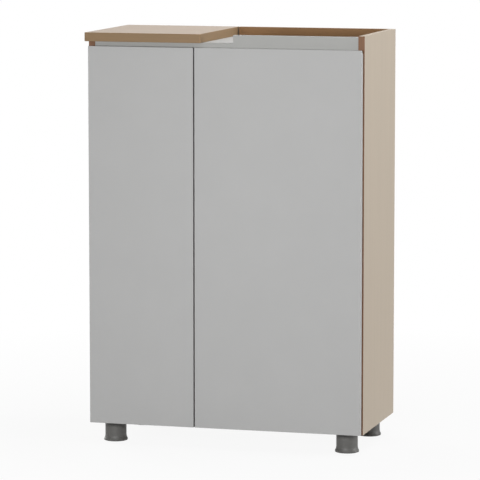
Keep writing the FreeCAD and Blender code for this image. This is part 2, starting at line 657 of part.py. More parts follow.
def hinge_cup():
    """A drawn cup let into the door, with a flange, two screw ears and lugs for the cup pins."""
    middle = V(CUP_U, DOOR_BACK, 0)
    radius = CUP_RADIUS - FIT
    bowl = rod(radius, middle, -BACK, CUP_DEPTH)
    ear_u = CUP_U + CUP_SCREW_OFFSET
    disc = rod(radius + CUP_FLANGE_RIM, middle, BACK, CUP_FLANGE)
    ears = [rod(CUP_WING_RADIUS, V(ear_u, DOOR_BACK, w), BACK, CUP_FLANGE) for w in cup_screw_rows()]
    strap = block(ear_u - CUP_WING_RADIUS, ear_u + CUP_WING_RADIUS, DOOR_BACK, DOOR_BACK + CUP_FLANGE,
                  -CUP_SCREW_SPREAD, CUP_SCREW_SPREAD)
    edge = CUP_U - CUP_FLANGE_CUT
    reach = 2 * CUP_RADIUS
    off_cut = block(edge - reach, edge, DOOR_BACK, DOOR_BACK + CUP_FLANGE, -reach, reach)
    flange = disc.fuse(ears + [strap]).removeSplitter().cut(off_cut)
    cavity = rod(radius - CUP_WALL, middle + BACK * CUP_FLANGE, -BACK, CUP_DEPTH - CUP_FLOOR + CUP_FLANGE)
    cup = bowl.fuse(flange).cut(cavity)
    floor = DOOR_BACK - CUP_DEPTH + CUP_FLOOR
    lug_u = (CUP_OUTER.x + CUP_INNER.x) / 2
    lugs = []
    for low, high in both_sides(LUG_FACE, CUP_RADIUS):
        lug = block(lug_u - LUG_HALF_WIDTH, lug_u + LUG_HALF_WIDTH, floor, DOOR_BACK, low, high)
        lugs.append(lug.common(rod(radius - CUP_WALL, middle, -BACK, CUP_DEPTH)))
    cup = cup.fuse(lugs).removeSplitter()
    rim = CUP_U - CUP_RADIUS
    relief = block(rim, rim + CUP_RELIEF_WIDTH, DOOR_BACK - CUP_RELIEF, DOOR_BACK, -CHEEK_FACE, CHEEK_FACE)
    cup = cup.cut(relief)
    bores = [rod(PIVOT_RADIUS, p - UP * LUG_REACH, UP, 2 * LUG_REACH) for p in (CUP_OUTER, CUP_INNER)]
    bores += [rod(SCREW_RADIUS + FIT, V(ear_u, DOOR_BACK, w), BACK, CUP_FLANGE) for w in cup_screw_rows()]
    return [cup.cut(bores)]


def cup_screw_rows():
    """Heights of a cup's two screws from the hinge's middle."""
    return (-CUP_SCREW_SPREAD, CUP_SCREW_SPREAD)


def cup_pins():
    """The inner cup pin, right across, and two stub pins that leave the middle layer free."""
    pins = [rod(PIVOT_RADIUS, CUP_INNER - UP * LUG_REACH, UP, 2 * LUG_REACH)]
    stub = LUG_REACH - OUTER_LINK_FACE
    for low, _high in both_sides(OUTER_LINK_FACE, LUG_REACH):
        pins.append(rod(PIVOT_RADIUS, CUP_OUTER + UP * low, UP, stub))
    return pins


def cup_screws():
    """The two screws of one cup."""
    seat_v = DOOR_BACK + CUP_FLANGE
    return [screw(V(CUP_U + CUP_SCREW_OFFSET, seat_v, w), -BACK) for w in cup_screw_rows()]


def at_levels(solids):
    """Copies of one hinge's pieces at every hinge level of the left door."""
    copies = []
    for level in HINGE_LEVELS:
        for solid in solids:
            copy = solid.copy()
            copy.translate(UP * level)
            copies.append(copy)
    return copies


def on_side(side, solids):
    """Hinge pieces for one door, mirrored for the right one."""
    placed = at_levels(solids)
    return placed if side == "left" else [mirrored(solid) for solid in placed]


def hinge_plate_screw_holes():
    """Holes in both side panels for the mounting plates' screws."""
    reach = PLATE_SCREW_SPREAD
    seats = [V(PANEL + PLATE_BASE, PLATE_SCREW_SETBACK, w) for w in (-reach, reach)]
    holes = [screw_hole(seat, -RIGHT) for seat in seats]
    return on_side("left", holes) + on_side("right", holes)


def make_hinges():
    """Six cup hinges, three for each door."""
    screws = []
    for side in ("left", "right"):
        save(side + "_hinge_plates", *on_side(side, mounting_plate()))
        save(side + "_hinge_arms", *on_side(side, hinge_arm()))
        save(side + "_arm_pins", *on_side(side, arm_pins()))
        save(side + "_outer_links", *on_side(side, outer_links()))
        save(side + "_inner_links", *on_side(side, inner_link()))
        save(side + "_hinge_cups", *on_side(side, hinge_cup()))
        save(side + "_cup_pins", *on_side(side, cup_pins()))
        save(side + "_cup_screws", *on_side(side, cup_screws()))
        screws += on_side(side, plate_screws())
    save("hinge_plate_screws", *screws)


def door_profile(x, inset):
    """The door's section at x, drawn in from its edges; the top is bevelled behind for the fingers."""
    low, high = DOOR_BOTTOM_REVEAL + inset, DOOR_TOP - inset
    slope = inset * math.sqrt(2)
    return [
        V(x, DOOR_FRONT, low), V(x, DOOR_BACK, low),
        V(x, DOOR_BACK, DOOR_TOP - DOOR_GRIP - slope),
        V(x, DOOR_BACK - DOOR_GRIP + inset - slope, high), V(x, DOOR_FRONT, high),
    ]


def make_doors():
    """Both doors: a board bored for its cups, four edge bands and soft bumpers."""
    half = DOOR_MIDDLE_GAP / 2
    spans = {
        "left": (DOOR_REVEAL, DOOR_SPLIT - half),
        "right": (DOOR_SPLIT + half, CABINET_WIDTH - DOOR_REVEAL),
    }
    low = DOOR_BOTTOM_REVEAL
    bore = rod(CUP_RADIUS, V(CUP_U, DOOR_BACK, 0), -BACK, CUP_DEPTH + FIT)
    seat_v = DOOR_BACK + CUP_FLANGE
    holes = [bore] + [screw_hole(V(CUP_U + CUP_SCREW_OFFSET, seat_v, w), -BACK) for w in cup_screw_rows()]
    for side, (x0, x1) in spans.items():
        between = x1 - x0 - 2 * BAND
        outside = sawn(door_profile(x0 + BAND, 0), RIGHT * between)
        board = sawn(door_profile(x0 + BAND, BAND), RIGHT * between)
        save(side + "_door", board.cut(on_side(side, holes)))
        save(
            side + "_door_edge_bands",
            sawn(door_profile(x0, 0), RIGHT * BAND),
            sawn(door_profile(x1 - BAND, 0), RIGHT * BAND),
            *outside.cut(board).Solids,
        )
        if side == "left":
            bumper_x = (PARTITION_LEFT + x1 - BAND) / 2
        else:
            bumper_x = (PARTITION_RIGHT + x0 + BAND) / 2
        save(side + "_door_bumpers", *[
            rod(BUMPER_RADIUS, V(bumper_x, DOOR_BACK, z), BACK, DOOR_GAP - SLACK)
            for z in (low + BUMPER_INSET, RAIL_UNDERSIDE - BUMPER_INSET)
        ])


def main():
    os.makedirs("parts", exist_ok=True)
    make_carcass(lay_out_fittings())
    make_worktop()
    make_shelves()
    make_legs()
    make_hinges()
    make_doors()


main()
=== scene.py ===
"""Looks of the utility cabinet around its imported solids, laid out as an add-on.

Each operator dresses one group of pieces: boards, edge bands, doors, hinges, fasteners, legs and pads.
The last one sets the stage. Lengths are metres in the cabinet's own frame: +X right, +Y back, +Z up.
"""
import json
import math

import bmesh
import bpy
from bpy.props import FloatProperty, FloatVectorProperty, IntProperty, PointerProperty
from mathutils import Matrix, Vector


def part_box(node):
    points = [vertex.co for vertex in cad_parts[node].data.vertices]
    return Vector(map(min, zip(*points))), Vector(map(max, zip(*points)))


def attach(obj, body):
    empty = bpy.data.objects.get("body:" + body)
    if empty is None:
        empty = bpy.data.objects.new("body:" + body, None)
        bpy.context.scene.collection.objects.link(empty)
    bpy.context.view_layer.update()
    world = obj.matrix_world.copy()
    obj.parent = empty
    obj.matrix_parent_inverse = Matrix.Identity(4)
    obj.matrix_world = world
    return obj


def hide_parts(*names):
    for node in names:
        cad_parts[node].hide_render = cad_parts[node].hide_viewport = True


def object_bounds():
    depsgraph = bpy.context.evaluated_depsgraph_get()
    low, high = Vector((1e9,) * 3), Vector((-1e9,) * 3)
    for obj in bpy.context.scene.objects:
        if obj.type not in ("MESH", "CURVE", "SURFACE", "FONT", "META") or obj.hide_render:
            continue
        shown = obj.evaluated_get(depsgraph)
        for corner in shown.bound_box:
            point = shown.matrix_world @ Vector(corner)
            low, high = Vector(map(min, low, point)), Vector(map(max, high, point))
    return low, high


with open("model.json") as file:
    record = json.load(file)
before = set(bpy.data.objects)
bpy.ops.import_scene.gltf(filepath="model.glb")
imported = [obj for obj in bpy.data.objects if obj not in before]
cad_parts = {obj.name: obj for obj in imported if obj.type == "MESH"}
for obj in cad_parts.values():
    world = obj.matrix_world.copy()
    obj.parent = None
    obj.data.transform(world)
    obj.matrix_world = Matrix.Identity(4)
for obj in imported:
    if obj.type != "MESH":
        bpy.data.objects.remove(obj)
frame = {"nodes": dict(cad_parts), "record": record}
CAD_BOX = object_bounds()

bl_info = {
    "name": "Utility Cabinet Looks",
    "version": (1, 0, 0),
    "blender": (4, 5, 0),
    "location": "View3D > Sidebar > Cabinet",
    "description": "Dresses the utility cabinet's solids with boards, bands, fittings and a stage",
    "category": "Object",
}

MM = 0.001
AXES = {"X": Vector((1, 0, 0)), "Y": Vector((0, 1, 0)), "Z": Vector((0, 0, 1))}
WHITE = (1.0, 1.0, 1.0, 1.0)

# Screws that get threads and recesses, and the body that each group rides on
SCREW_NODES = {
    "hinge_plate_screws": "carcass",
    "leg_screws": "carcass",
    "worktop_screws": "carcass",
    "left_cup_screws": "left_door",
    "right_cup_screws": "right_door",
}

# Corners nearer than this are one corner, and a rounded mesh keeps no edge shorter than a sliver
JOIN_REACH = 0.002 * MM
SLIVER = 0.01 * MM
# A point this far outside a box still touches it
TOUCH_ROOM = 0.01 * MM
# Turns between faces: flat below the first, an edge to round above the second
FLAT_TURN = math.radians(0.5)
SHARP_TURN = math.radians(40)
# Faces across a rounded edge
ARRIS_STEPS = 2
# Turns above which shading shows an edge
BAND_CREASE = math.radians(20)
TURNED_CREASE = math.radians(35)
# Least cosine between a face and an axis that it looks along
SQUARE_ON = 0.99

# Strength of the streaks in the wood-look prints, as a share of the colour
BOARD_CONTRAST = 0.035
BAND_CONTRAST = 0.14
PLAIN_WOOD_CONTRAST = 0.12
# Pattern values at which the darker and the lighter tone are reached
TONE_STOPS = (0.3, 0.7)
# Stretch of the marks that drawing leaves along the hinges' metal
DRAWN_MARKS = (1.0, 0.12, 1.0)

# A pan head's profile: shares of its radius and of its height
PAN_HEAD = ((1.0, 0.0), (1.0, 0.35), (0.92, 0.7), (0.74, 1.0))
# A corner further out than this share of the widest radius is on the head's rim
HEAD_RIM = 0.9
# Reach and half width of a drive cross, as shares of the radius, and its taper to the bottom
SCREW_CROSS = (0.52, 0.13)
CAM_CROSS = (0.6, 0.13)
CROSS_TAPER = 0.6
# Deepest cross, as a share of the head's height or of the cam's depth
SCREW_CROSS_LIMIT = 0.75
CAM_CROSS_DEPTH = 0.25
# Shank radius as a share of the head's, the point's length in shank radii, and the share left at its tip
SHANK_SHARE = 0.48
POINT_LENGTH = 2.5
POINT_BLUNT = 0.12
# A thread's half width as a share of its pitch, and the rings that draw it
RIDGE_REACH = 0.25
RINGS_PER_TURN = 4
LEAST_RINGS = 8
# Chamfers and end radius as shares of the radius
CAM_CHAMFER = 0.08
DOWEL_CHAMFER = 0.25
DOWEL_END = 0.8
# Turn in radians from one fastener to the next, so that no two stand alike
SCREW_SPIN = 0.65
CAM_SPIN = 0.4
DOWEL_SPIN = 0.3

# The floor's sides and dullness, and how far from the middle its paint begins and ends to turn white
FLOOR_SIDES = 96
FLOOR_ROUGHNESS = 0.9
FLOOR_FADE = (0.6, 2.2)
# How far the camera sees
CAMERA_REACH = 100.0


def colour_prop(name, description, default):
    """A colour that a user would change."""
    return FloatVectorProperty(
        name=name, description=description, subtype="COLOR", size=3, min=0.0, max=1.0, default=default
    )


def length_prop(name, description, millimetres):
    """A length that a user would change, kept in metres."""
    return FloatProperty(
        name=name, description=description, unit="LENGTH", min=0.0, precision=5, default=millimetres * MM
    )


def power_prop(name, description, watts):
    """A lamp's power that a user would change."""
    return FloatProperty(name=name, description=description, unit="POWER", min=0.0, default=watts)


class CabinetColours(bpy.types.PropertyGroup):
    """Colours of the cabinet's finishes."""

    board: colour_prop("Board", "Light wood-look laminate of the carcass", (0.426, 0.361, 0.286))
    slab: colour_prop("Slab", "Slightly redder laminate of the worktop slab", (0.456, 0.371, 0.299))
    slab_band: colour_prop("Slab band", "Brown band round the worktop slab", (0.226, 0.144, 0.071))
    carcass_band: colour_prop("Carcass band", "Redder brown of carcass and shelves", (0.176, 0.079, 0.034))
    # Painted light: the back rail's brown is painted lighter than its own brown, to stand in for light
    # that its place in the tray's shade does not get
    back_rail: colour_prop("Back rail", "Darker brown of the tray's back rail", (0.238, 0.122, 0.044))
    door: colour_prop("Door", "Grey laminate of the doors", (0.433, 0.433, 0.43))
    front_rail: colour_prop("Front rail", "Slightly darker grey of the front rail", (0.374, 0.374, 0.362))
    # Painted light: the tray's floor is the doors' grey laminate, painted paler to stand in for the light
    # that falls on it
    tray: colour_prop("Tray floor", "Paler grey laminate of the tray's floor", (0.51, 0.505, 0.495))
    core: colour_prop("Board core", "Raw chipboard on the unbanded edges", (0.50, 0.36, 0.22))
    back: colour_prop("Back panel", "Pale hardboard", (0.52, 0.47, 0.40))
    leg: colour_prop("Leg", "Moulded plastic of the legs", (0.107, 0.105, 0.100))
    pad: colour_prop("Pad", "Soft pads under the legs and behind the doors", (0.05, 0.05, 0.05))
    nickel: colour_prop("Nickel", "Plated steel of the hinges", (0.62, 0.60, 0.56))
    screw: colour_prop("Screw", "Zinc-plated steel of the screws and pins", (0.56, 0.56, 0.55))
    zinc: colour_prop("Zinc", "Die-cast zinc of the cam locks", (0.42, 0.42, 0.41))
    beech: colour_prop("Beech", "Wood of the dowels", (0.58, 0.42, 0.25))


class CabinetSizes(bpy.types.PropertyGroup):
    """Sizes of the fine detail that the scene adds to the solids."""

    board_arris: length_prop("Board arris", "Rounding of the boards' edges", 0.25)
    band_arris: length_prop("Band arris", "Rounding of the edge bands' corners", 0.35)
    grain_length: length_prop("Grain length", "Length of a streak in the wood-look print", 260.0)
    grain_width: length_prop("Grain width", "Width of a streak in the wood-look print", 7.0)
    thread_pitch: length_prop("Thread pitch", "Rise of a screw's thread in one turn", 1.8)
    thread_depth: length_prop("Thread depth", "Height of a screw's thread", 0.35)
    recess_depth: length_prop("Recess depth", "Depth of the cross recess in a screw head", 1.3)
    flute_share: FloatProperty(
        name="Flute depth", description="Radius left in a dowel's flutes, as a share", subtype="FACTOR",
        min=0.5, max=1.0, default=0.93,
    )
    round_steps: IntProperty(name="Round steps", description="Sides of a turned piece", min=8, default=24)


class CabinetStage(bpy.types.PropertyGroup):
    """Camera, lamps and floor."""

    camera_place: FloatVectorProperty(
        name="Camera place", description="Where the camera stands", subtype="TRANSLATION", unit="LENGTH",
        default=(2.44, -8.70, 1.69),
    )
    camera_turn: FloatProperty(
        name="Camera turn", description="Turn of the view about the upright", unit="ROTATION",
        default=math.radians(15.69),
    )
    camera_dip: FloatProperty(
        name="Camera dip", description="How far the view looks down", unit="ROTATION",
        default=math.radians(7.038),
    )
    lens: FloatProperty(
        name="Lens", description="Focal length in millimetres", unit="CAMERA", min=1.0, default=238.34
    )
    front_power: power_prop("Front lamp", "Power of the lamp in front", 61.0)
    side_power: power_prop("Side lamp", "Power of the lamp at the right", 110.0)
    top_power: power_prop("Top lamp", "Power of the lamp overhead", 98.0)
    fill_power: power_prop("Fill lamp", "Power of the lamp behind on the left", 190.0)
    ambient: FloatProperty(
        name="Ambient", description="Strength of the light from all round", min=0.0, default=0.08
    )
    floor_colour: colour_prop("Floor", "Pale floor", (0.42, 0.42, 0.42))
    floor_radius: FloatProperty(
        name="Floor radius", description="Reach of the floor", unit="LENGTH", min=0.0, default=2.6
    )
    floor_glow: FloatProperty(
        name="Floor glow", description="Share of plain white in the seen floor", subtype="FACTOR",
        min=0.0, max=1.0, default=0.92,
    )


class CabinetLooks(bpy.types.PropertyGroup):
    """All settings of the add-on."""

    colours: PointerProperty(type=CabinetColours)
    sizes: PointerProperty(type=CabinetSizes)
    stage: PointerProperty(type=CabinetStage)


def nodes_in_slot(slot):
    """Names of the solids whose record entry has this material slot."""
    return [part["node"] for part in frame["record"]["subparts"] if part["material_slot"] == slot]


class Finish:
    """A material under construction, with short ways to add nodes and links."""

    def __init__(self, name):
        self.material = bpy.data.materials.new(name)
        self.material.use_nodes = True
        self.tree = self.material.node_tree
        self.tree.nodes.clear()
        self.output = self.tree.nodes.new("ShaderNodeOutputMaterial")
        self.skin = self.tree.nodes.new("ShaderNodeBsdfPrincipled")
        self.link(self.skin.outputs["BSDF"], self.output.inputs["Surface"])

    def link(self, source, target):
        """Join an output to an input."""
        self.tree.links.new(source, target)

    def node(self, kind, values=None, **settings):
        """A node with its settings and its constant or linked inputs."""
        made = self.tree.nodes.new(kind)
        for key, value in settings.items():
            setattr(made, key, value)
        for key, value in (values or {}).items():
            if isinstance(value, bpy.types.NodeSocket):
                self.link(value, made.inputs[key])
            else:
                made.inputs[key].default_value = value
        return made

    def place(self, stretch=(1.0, 1.0, 1.0)):
        """Coordinates in the cabinet's frame, scaled along each axis."""
        coords = self.node("ShaderNodeTexCoord")
        mapping = self.node("ShaderNodeMapping", {"Vector": coords.outputs["Object"], "Scale": stretch})
        return mapping.outputs["Vector"]

    def noise(self, vector, scale, detail=3.0, roughness=0.55):
        """A cloudy pattern; its scale is in cells for each unit of the coordinates."""
        values = {"Vector": vector, "Scale": scale, "Detail": detail, "Roughness": roughness}
        return self.node("ShaderNodeTexNoise", values).outputs["Fac"]

    def tint(self, factor, colour, contrast):
        """Base colour between a darker and a lighter tone of one colour."""
        ramp = self.node("ShaderNodeValToRGB", {"Fac": factor})
        gains = (1 - contrast, 1 + contrast)
        for element, position, gain in zip(ramp.color_ramp.elements, TONE_STOPS, gains):
            element.position = position
            element.color = [min(1.0, channel * gain) for channel in colour] + [1.0]
        self.link(ramp.outputs["Color"], self.skin.inputs["Base Color"])

    def gloss(self, factor, smoothest, roughest):
        """Roughness that varies over the surface."""
        values = {"Value": factor, "To Min": smoothest, "To Max": roughest}
        spread = self.node("ShaderNodeMapRange", values)
        self.link(spread.outputs["Result"], self.skin.inputs["Roughness"])

    def relief(self, height, depth, strength):
        """Fine relief from a height pattern."""
        bump = self.node("ShaderNodeBump", {"Height": height, "Distance": depth, "Strength": strength})
        self.link(bump.outputs["Normal"], self.skin.inputs["Normal"])


def wood_print(name, colour, axis, sizes, contrast):
    """Wood-look surface: long soft streaks and fine pores along one axis, with a satin face."""
    finish = Finish(name)
    stretch = [1 / sizes.grain_width if key != axis else 1 / sizes.grain_length for key in AXES]
    along = finish.place(stretch)
    streaks = finish.noise(along, scale=0.55, detail=5.0, roughness=0.6)
    pores = finish.noise(along, scale=6.0, detail=2.0)
    grain = finish.node("ShaderNodeMix", {"Factor": 0.35, "A": streaks, "B": pores})
    finish.tint(grain.outputs["Result"], colour, contrast)
    finish.gloss(pores, smoothest=0.58, roughest=0.70)
    finish.relief(pores, depth=0.15 * MM, strength=0.25)
    return finish.material


def grey_laminate(name, colour):
    """Plain grey laminate with a faint mottle and the fine peel of its press plate."""
    finish = Finish(name)
    place = finish.place()
    finish.tint(finish.noise(place, scale=9.0, detail=4.0), colour, contrast=0.012)
    finish.gloss(finish.noise(place, scale=60.0), smoothest=0.58, roughest=0.68)
    finish.relief(finish.noise(place, scale=900.0, detail=2.0), depth=0.05 * MM, strength=0.2)
    return finish.material


def chipboard(name, colour):
    """Raw board edge: pale chips with dark flecks between them."""
    finish = Finish(name)
    place = finish.place()
    chips = finish.node("ShaderNodeTexVoronoi", {"Vector": place, "Scale": 480.0, "Randomness": 1.0})
    flecks = finish.noise(place, scale=260.0, detail=4.0, roughness=0.7)
    mixed = finish.node("ShaderNodeMix", {"Factor": 0.5, "A": chips.outputs["Distance"], "B": flecks})
    finish.tint(mixed.outputs["Result"], colour, contrast=0.28)
    finish.gloss(flecks, smoothest=0.75, roughest=0.9)
    finish.relief(mixed.outputs["Result"], depth=0.3 * MM, strength=0.5)
    return finish.material


def pressed_fibre(name, colour):
    """Thin hardboard: short pale fibres in all directions."""
    finish = Finish(name)
    fibres = finish.noise(finish.place(), scale=420.0, detail=5.0, roughness=0.7)
    finish.tint(fibres, colour, contrast=0.10)
    finish.gloss(fibres, smoothest=0.6, roughest=0.8)
    finish.relief(fibres, depth=0.2 * MM, strength=0.3)
    return finish.material


def moulded_plastic(name, colour, smoothest, roughest):
    """Moulded plastic with a spark-eroded grain."""
    finish = Finish(name)
    place = finish.place()
    finish.tint(finish.noise(place, scale=35.0, detail=4.0), colour, contrast=0.07)
    finish.gloss(finish.noise(place, scale=140.0), smoothest, roughest)
    finish.relief(finish.noise(place, scale=1500.0, detail=2.0), depth=0.08 * MM, strength=0.35)
    return finish.material


def plated_metal(name, colour, smoothest, roughest, stretch=(1.0, 1.0, 1.0)):
    """Plated or cast metal with faint drawing marks."""
    finish = Finish(name)
    finish.skin.inputs["Metallic"].default_value = 1.0
    marks = finish.noise(finish.place(stretch), scale=900.0)
    finish.tint(finish.noise(finish.place(), scale=70.0), colour, contrast=0.04)
    finish.gloss(marks, smoothest, roughest)
    finish.relief(marks, depth=0.02 * MM, strength=0.12)
    return finish.material


def dress(node, material):
    """Give a solid its finish."""
    slots = frame["nodes"][node].data.materials
    slots.clear()
    slots.append(material)


def bare_edges(node, core):
    """Show the chipboard core on the back and under edges of a board, which carry no band."""
    solid = frame["nodes"][node]
    low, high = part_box(node)
    size = high - low
    thin = min(range(3), key=lambda i: size[i])
    raw = (AXES["Y"], -AXES["Z"])
    solid.data.materials.append(core)
    for face in solid.data.polygons:
        if any(axis[thin] == 0 and face.normal.dot(axis) > SQUARE_ON for axis in raw):
            face.material_index = 1


def dress_by_facing(node, across, along):
    """Give a node's faces that look to the front or back one finish, and the others another."""
    solid = frame["nodes"][node]
    solid.data.materials.clear()
    for material in (across, along):
        solid.data.materials.append(material)
    for face in solid.data.polygons:
        face.material_index = 0 if abs(face.normal.y) > abs(face.normal.x) else 1


def round_edges(node, width):
    """Round a solid's sharp edges with modifiers; the solid itself stays as it is."""
    solid = frame["nodes"][node]
    weld = solid.modifiers.new("Joined corners", "WELD")
    weld.merge_threshold = JOIN_REACH
    flat = solid.modifiers.new("Flat faces", "DECIMATE")
    flat.decimate_type = "DISSOLVE"
    flat.angle_limit = FLAT_TURN
    arris = solid.modifiers.new("Arris", "BEVEL")
    arris.width = width
    arris.segments = ARRIS_STEPS
    arris.limit_method = "ANGLE"
    arris.angle_limit = SHARP_TURN
    arris.harden_normals = True


def span(corners):
    """Lowest and highest corner of a list of corners."""
    low = Vector(min(c[i] for c in corners) for i in range(3))
    high = Vector(max(c[i] for c in corners) for i in range(3))
    return low, high


def longest_axis(size):
    """Name of the axis along which a box is longest."""
    return "XYZ"[max(range(3), key=lambda i: size[i])]


def islands(node):
    """Corner lists of the separate solids in one node."""
    mesh = bmesh.new()
    mesh.from_mesh(frame["nodes"][node].data)
    bmesh.ops.remove_doubles(mesh, verts=mesh.verts, dist=JOIN_REACH)
    mesh.verts.ensure_lookup_table()
    seen = set()
    groups = []
    for start in mesh.verts:
        if start.index in seen:
            continue
        seen.add(start.index)
        stack = [start]
        corners = []
        while stack:
            vert = stack.pop()
            corners.append(vert.co.copy())
            for edge in vert.link_edges:
                other = edge.other_vert(vert)
                if other.index not in seen:
                    seen.add(other.index)
                    stack.append(other)
        groups.append(corners)
    mesh.free()
    return groups


def closed_solids(node):
    """Face outlines of each solid in a node; a solid ends where its faces close, also if solids touch."""
    mesh = frame["nodes"][node].data
    places = [tuple(vert.co) for vert in mesh.vertices]
    solids = []
    outlines = []
    unpaired = set()
    for face in mesh.polygons:
        outline = [places[i] for i in face.vertices]
        outlines.append(outline)
        for edge in zip(outline, outline[1:] + outline[:1]):
            if edge[::-1] in unpaired:
                unpaired.remove(edge[::-1])
            else:
                unpaired.add(edge)
        if not unpaired:
            solids.append(outlines)
            outlines = []
    # Faces that never close count as one more solid
    if outlines:
        solids.append(outlines)
    return solids


def touches(place, boxes):
    """Whether a point lies in or on one of some boxes."""
    for low, high in boxes:
        if all(low[i] - TOUCH_ROOM <= place[i] <= high[i] + TOUCH_ROOM for i in range(3)):
            return True
    return False


def round_solid(build, outlines, width, neighbours, finish):
    """Add one solid to a mesh, with its sharp edges rounded where no neighbour touches them."""
    one = bmesh.new()
    corners = {}
    for outline in outlines:
        for place in outline:
            if place not in corners:
                corners[place] = one.verts.new(place)
        ends = [corners[place] for place in outline]
        if one.faces.get(ends) is None:
            one.faces.new(ends)
    bmesh.ops.dissolve_limit(one, angle_limit=FLAT_TURN, verts=one.verts, edges=one.edges)
    free = []
    for edge in one.edges:
        sharp = edge.is_convex and edge.calc_face_angle(0.0) > SHARP_TURN
        middle = (edge.verts[0].co + edge.verts[1].co) / 2
        if sharp and not touches(middle, neighbours):
            free.append(edge)
    bmesh.ops.bevel(
        one, geom=free, offset=width, offset_type="OFFSET",
        segments=ARRIS_STEPS, profile=0.5, affect="EDGES",
    )
    bmesh.ops.remove_doubles(one, verts=one.verts, dist=SLIVER)
    for face in one.faces:
        face.material_index = finish
    rounded = bpy.data.meshes.new("rounded_solid")
    one.to_mesh(rounded)
    one.free()
    build.from_mesh(rounded)
    bpy.data.meshes.remove(rounded)


def new_piece(node, body, build, materials, crease=TURNED_CREASE):
    """A scene piece from a built mesh, in place of a node and riding on its body."""
    name = node + "_made"
    mesh = bpy.data.meshes.new(name)
    bmesh.ops.recalc_face_normals(build, faces=build.faces)
    build.to_mesh(mesh)
    build.free()
    mesh.polygons.foreach_set("use_smooth", [True] * len(mesh.polygons))
    mesh.set_sharp_from_angle(angle=crease)
    for material in materials:
        mesh.materials.append(material)
    piece = bpy.data.objects.new(name, mesh)
    bpy.context.scene.collection.objects.link(piece)
    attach(piece, body)
    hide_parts(node)


def make_bands(node, body, boards, prints, width):
    """A node's edge bands with rounded free edges, each in the print whose grain runs along it."""
    materials = list(dict.fromkeys(prints.values()))
    solids = closed_solids(node)
    spans = [span([place for outline in outlines for place in outline]) for outlines in solids]
    boxes = [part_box(board) for board in boards]
    build = bmesh.new()
    for i, (outlines, (low, high)) in enumerate(zip(solids, spans)):
        neighbours = boxes + spans[:i] + spans[i + 1:]
        finish = materials.index(prints[longest_axis(high - low)])
        round_solid(build, outlines, width, neighbours, finish)
    new_piece(node, body, build, materials, BAND_CREASE)


def ring(build, place, radii, height):
    """A closed loop of corners about a local upright, one radius for each corner."""
    loop = []
    for i, radius in enumerate(radii):
        turn = 2 * math.pi * i / len(radii)
        corner = Vector((radius * math.cos(turn), radius * math.sin(turn), height))
        loop.append(build.verts.new(place @ corner))
    return loop


def bridge(build, lower, upper):
    """Faces between two loops of the same count."""
    for i in range(len(lower)):
        j = (i + 1) % len(lower)
        build.faces.new((lower[i], lower[j], upper[j], upper[i]))


def turned_side(build, place, profile, steps):
    """Loops and faces of a turned piece's side, from radius and height pairs; the loops come back."""
    loops = [ring(build, place, [radius] * steps, height) for radius, height in profile]
    for lower, upper in zip(loops, loops[1:]):
        bridge(build, lower, upper)
    return loops


def cross_loop(build, place, arm, half, height):
    """The outline of a cross-shaped recess."""
    quarter = [(arm, -half), (arm, half), (half, half)]
    loop = []
    for n in range(4):
        turn = Matrix.Rotation(n * math.pi / 2, 3, "Z")
        loop += [build.verts.new(place @ (turn @ Vector((x, y, height)))) for x, y in quarter]
    return loop


def crossed_cap(build, place, rim, height, arm, half, depth):
    """A flat cap with a tapered cross recess inside a rim."""
    outline = cross_loop(build, place, arm, half, height)
    floor = cross_loop(build, place, arm * CROSS_TAPER, half * CROSS_TAPER, height - depth)
    edges = []
    for loop in (rim, outline):
        for i in range(len(loop)):
            ends = (loop[i], loop[(i + 1) % len(loop)])
            edges.append(build.edges.get(ends) or build.edges.new(ends))
    bmesh.ops.triangle_fill(build, use_beauty=True, edges=edges)
    bridge(build, floor, outline)
    build.faces.new(floor)


def screw_form(build, place, head_radius, head_height, length, sizes):
    """A pan-head screw: head on the local plane, threaded shank down to its point."""
    steps = sizes.round_steps
    head = turned_side(build, place, [(head_radius * r, head_height * h) for r, h in PAN_HEAD], steps)
    arm, half = (head_radius * share for share in SCREW_CROSS)
    depth = min(sizes.recess_depth, head_height * SCREW_CROSS_LIMIT)
    crossed_cap(build, place, head[-1], head_height, arm, half, depth)
    crest = head_radius * SHANK_SHARE
    core = crest - sizes.thread_depth
    rings = max(LEAST_RINGS, int(length / sizes.thread_pitch * RINGS_PER_TURN))
    last = head[0]
    for row in range(rings + 1):
        drop = length * row / rings
        taper = min(1.0, (length - drop) / (POINT_LENGTH * crest) + POINT_BLUNT)
        radii = []
        for i in range(steps):
            phase = (drop / sizes.thread_pitch + i / steps) % 1.0
            ridge = max(0.0, 1 - abs(phase - 0.5) / RIDGE_REACH)
            radii.append((core + sizes.thread_depth * ridge) * taper)
        loop = ring(build, place, radii, -drop)
        bridge(build, loop, last)
        last = loop
    build.faces.new(last)


def cam_form(build, place, radius, depth, sizes):
    """A cam lock's body: its face on the local plane, with a chamfered rim and a drive cross."""
    chamfer = radius * CAM_CHAMFER
    profile = [(radius, -depth), (radius, -chamfer), (radius - chamfer, 0.0)]
    side = turned_side(build, place, profile, sizes.round_steps)
    arm, half = (radius * share for share in CAM_CROSS)
    crossed_cap(build, place, side[-1], 0.0, arm, half, depth * CAM_CROSS_DEPTH)
    build.faces.new(list(reversed(side[0])))


def dowel_form(build, place, radius, length, sizes):
    """A fluted dowel with chamfered ends, centred on the local origin."""
    flutes = [radius * (1.0 if i % 2 else sizes.flute_share) for i in range(sizes.round_steps)]
    chamfer = radius * DOWEL_CHAMFER
    heights = (-length / 2, chamfer - length / 2, length / 2 - chamfer, length / 2)
    shares = (DOWEL_END, 1.0, 1.0, DOWEL_END)
    loops = [ring(build, place, [r * s for r in flutes], h) for h, s in zip(heights, shares)]
    for lower, upper in zip(loops, loops[1:]):
        bridge(build, lower, upper)
    build.faces.new(list(reversed(loops[0])))
    build.faces.new(loops[-1])


